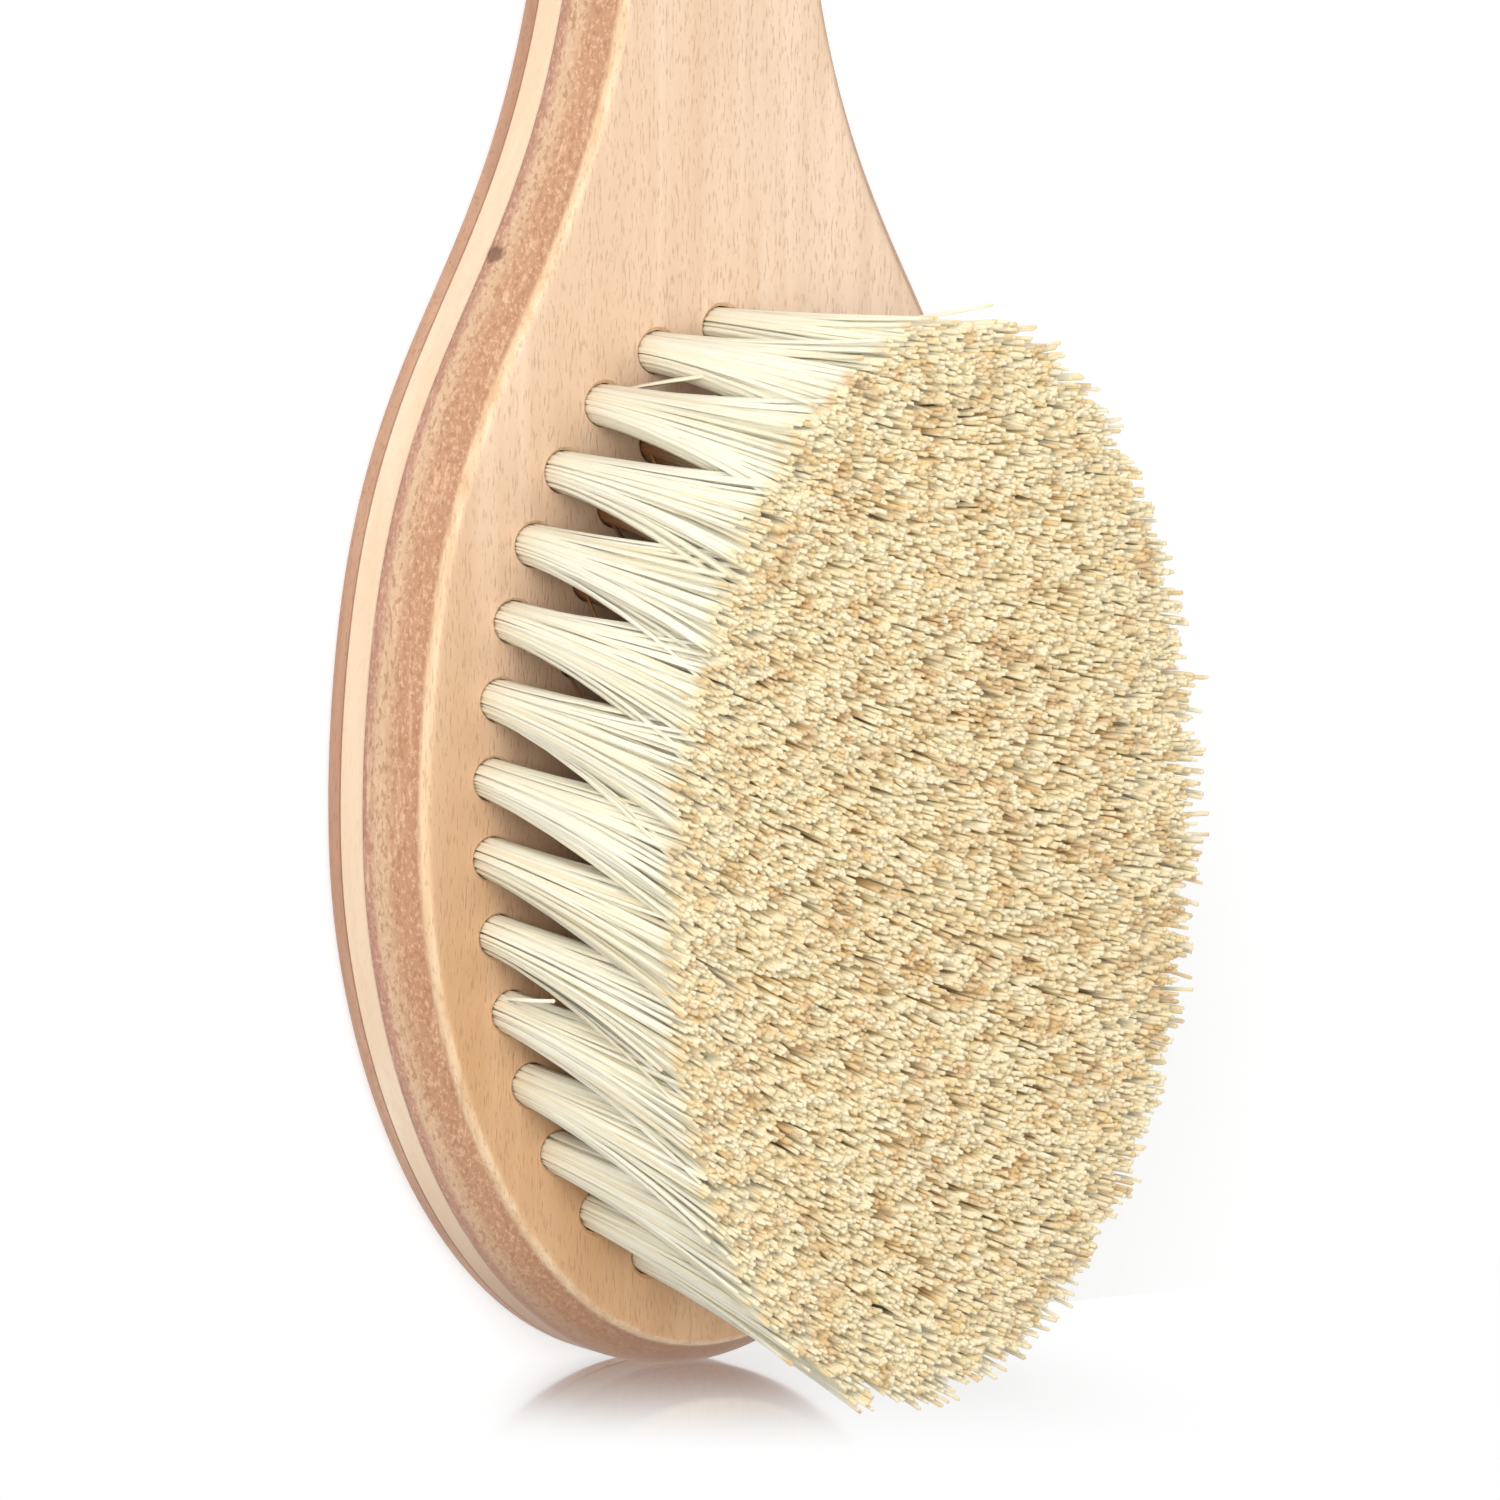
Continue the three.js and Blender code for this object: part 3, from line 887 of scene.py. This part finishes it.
def make_stage():
    """The floor under the brush, and the sheet at the head's tip that only the camera sees."""
    reach = 30.0
    corners = [(-reach, -reach, 0), (reach, -reach, 0), (reach, reach, 0), (-reach, reach, 0)]
    floor = new_mesh("floor", corners, [(0, 1, 2, 3)])
    floor.data.materials.append(floor_material())
    x = HEAD_TIP - SHEET_BEYOND_TIP
    wide, tall = SHEET_HALF_WIDTH, SHEET_HALF_HEIGHT
    corners = [(x, -wide, -tall), (x, wide, -tall), (x, wide, tall), (x, -wide, tall)]
    sheet = new_mesh("upright_sheet", corners, [(0, 1, 2, 3)])
    sheet.data.materials.append(sheet_material())
    sheet.visible_shadow = False
    sheet.visible_diffuse = False
    sheet.visible_glossy = False
    sheet.visible_transmission = False


def area_light(name, direction, distance, size, power):
    """A square lamp this far out in this direction from the middle of the brush's head."""
    data = bpy.data.lights.new(name, "AREA")
    data.shape = "SQUARE"
    data.size = size
    data.energy = power
    lamp = bpy.data.objects.new(name, data)
    bpy.context.collection.objects.link(lamp)
    direction = Vector(direction).normalized()
    centre = Vector((HEAD_TIP * 0.5, 0, FACE_TOP))
    lamp.location = centre + direction * distance
    lamp.rotation_mode = "QUATERNION"
    lamp.rotation_quaternion = direction.to_track_quat("Z", "Y")


def make_world():
    """Soft light from all round, shown as plain white to the camera and in reflections."""
    world = bpy.data.worlds.new("studio")
    bpy.context.scene.world = world
    world.use_nodes = True
    tree = world.node_tree
    tree.nodes.clear()
    ray = tree.nodes.new("ShaderNodeLightPath").outputs
    shown = ray["Is Camera Ray"]
    for other in ("Is Glossy Ray", "Is Transmission Ray"):
        either = tree.nodes.new("ShaderNodeMath")
        either.operation = "MAXIMUM"
        tree.links.new(shown, either.inputs[0])
        tree.links.new(ray[other], either.inputs[1])
        shown = either.outputs[0]
    both = tree.nodes.new("ShaderNodeMixShader")
    tree.links.new(shown, both.inputs[0])
    for socket, strength in ((1, WORLD_LIGHT), (2, 1.0)):
        sky = tree.nodes.new("ShaderNodeBackground")
        sky.inputs["Color"].default_value = (1, 1, 1, 1)
        sky.inputs["Strength"].default_value = strength
        tree.links.new(sky.outputs[0], both.inputs[socket])
    out = tree.nodes.new("ShaderNodeOutputWorld")
    tree.links.new(both.outputs[0], out.inputs["Surface"])


def make_camera():
    data = bpy.data.cameras.new("camera")
    camera = bpy.data.objects.new("camera", data)
    bpy.context.collection.objects.link(camera)
    back = LOOK_FROM.normalized()
    up = (Vector((1, 0, 0)) - back * back.x).normalized()
    right = up.cross(back)
    turn = Matrix.Rotation(math.radians(CAMERA_ROLL), 4, back)
    axes = Matrix((right, up, back)).transposed().to_4x4()
    camera.matrix_world = Matrix.Translation(LOOK_AT + back * CAMERA_DISTANCE) @ turn @ axes
    data.lens = CAMERA_LENS
    data.clip_start = 0.05
    data.clip_end = 100
    bpy.context.scene.camera = camera


def paint(piece, material):
    piece.data.materials.clear()
    piece.data.materials.append(material)


def place_piece(piece, node, material):
    """Paints the piece, puts it in the CAD node's stead and lets it ride on the brush."""
    paint(piece, material)
    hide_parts(node)
    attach(piece, "root")


def place_plies(stems):
    outline, normals = wood_outline()
    plies = [
        (make_back_ply(outline, normals), "back_ply", back_wood_material(), "brown_wood"),
        (make_pale_ply(outline, normals), "pale_ply", pale_wood_material(), "pale_wood"),
        (make_face_ply(outline, normals, stems), "face_ply", face_wood_material(), "face_wood"),
    ]
    for piece, node, material, slot in plies:
        shade_smooth(piece)
        place_piece(piece, node, material)


def place_tufts(stems):
    fibre = fibre_material()
    for seed, (node, own_stems) in enumerate(stems.items()):
        place_piece(make_tuft(node + "_fibres", own_stems, seed), node, fibre)


def paint_wires():
    wire = wire_material()
    for name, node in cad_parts.items():
        if name.endswith("_wire"):
            paint(node, wire)


make_camera()
stems_by_node = {name: stems_of(name) for name in sorted(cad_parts) if "tuft" in name}
place_plies([stem for stems in stems_by_node.values() for stem in stems])
place_tufts(stems_by_node)
paint_wires()
make_stage()
make_world()
area_light("key", (0.36, 0.56, 0.75), 0.6, 0.45, 2.9)
area_light("fill", (0.35, -0.6, 0.8), 1.0, 0.8, 1.5)
bpy.context.scene.view_settings.view_transform = "Standard"
